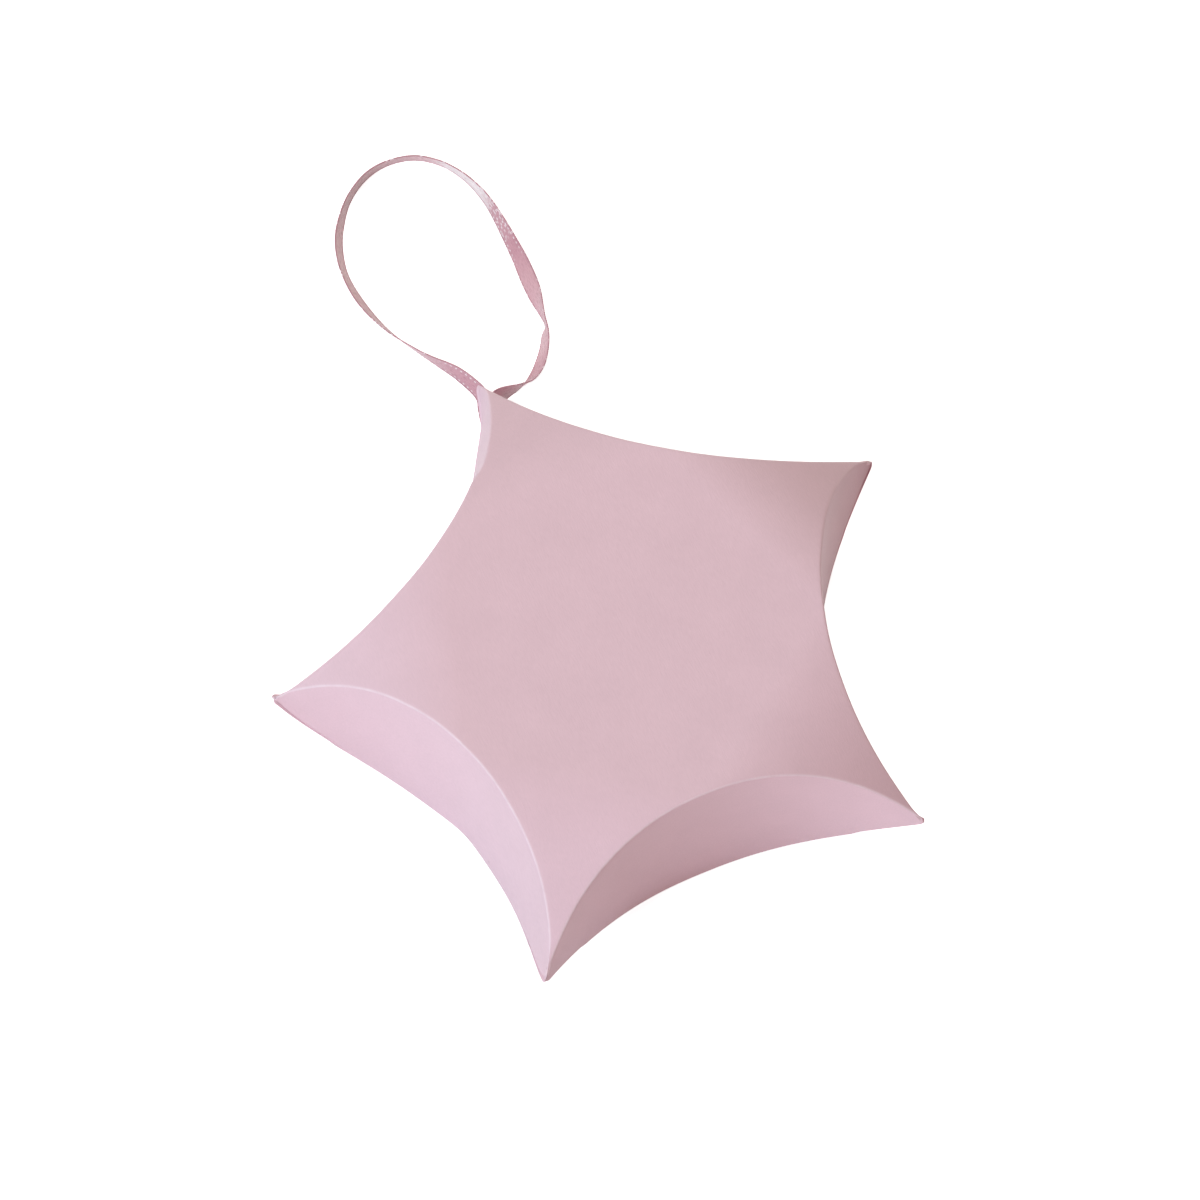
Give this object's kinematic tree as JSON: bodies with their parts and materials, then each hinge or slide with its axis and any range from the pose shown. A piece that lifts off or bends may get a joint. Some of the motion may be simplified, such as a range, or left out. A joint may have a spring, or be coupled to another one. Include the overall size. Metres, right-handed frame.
{
  "type": "star favor box",
  "caption": "Five-pointed pillow box folded from pink card, with curved flaps along its sides, one of them opening, and a loop of narrow satin ribbon to hang it by.",
  "frame": {"origin": "middle of the star on the outer face of the flat part of the back panel, on the surface that the box lies on", "axes": "+Z from the back panel to the front panel, +Y from the middle to the point that carries the ribbon, +X to the right seen from the front"},
  "size_m": [0.0961, 0.1395, 0.0274],
  "materials": {
    "card_outside": "matte",
    "card_inside": "matte",
    "tape": "smooth",
    "ribbon": "satin"
  },
  "bodies": {
    "box": {"front_panel": "card_outside", "back_panel": "card_outside", "spine_wall": "card_outside", "outer_flap_right": "card_outside", "outer_flap_bottom": "card_outside", "outer_flap_upper_left": "card_outside", "inner_flap_right": "card_inside", "inner_flap_bottom": "card_inside", "inner_flap_upper_left": "card_inside", "tape_strip_right": "tape", "tape_strip_bottom": "tape", "tape_strip_upper_left": "tape", "ribbon_loop": "ribbon", "ribbon_knot": "ribbon"},
    "closure": {"closure_flap": "card_outside"},
    "tuck": {"tuck_flap": "card_inside"}
  },
  "joints": [
    {"name": "closure_flap_hinge", "type": "hinge", "parent": "box", "child": "closure", "pos_m": [-0.02832, -0.0092, 0.0274], "axis": [-0.309, 0.9511, 0], "range_deg": [0, 105]},
    {"name": "tuck_flap_hinge", "type": "hinge", "parent": "box", "child": "tuck", "pos_m": [-0.02727, -0.00886, 0.0007], "axis": [-0.309, 0.9511, 0], "range_deg": [0, 40]}
  ]
}
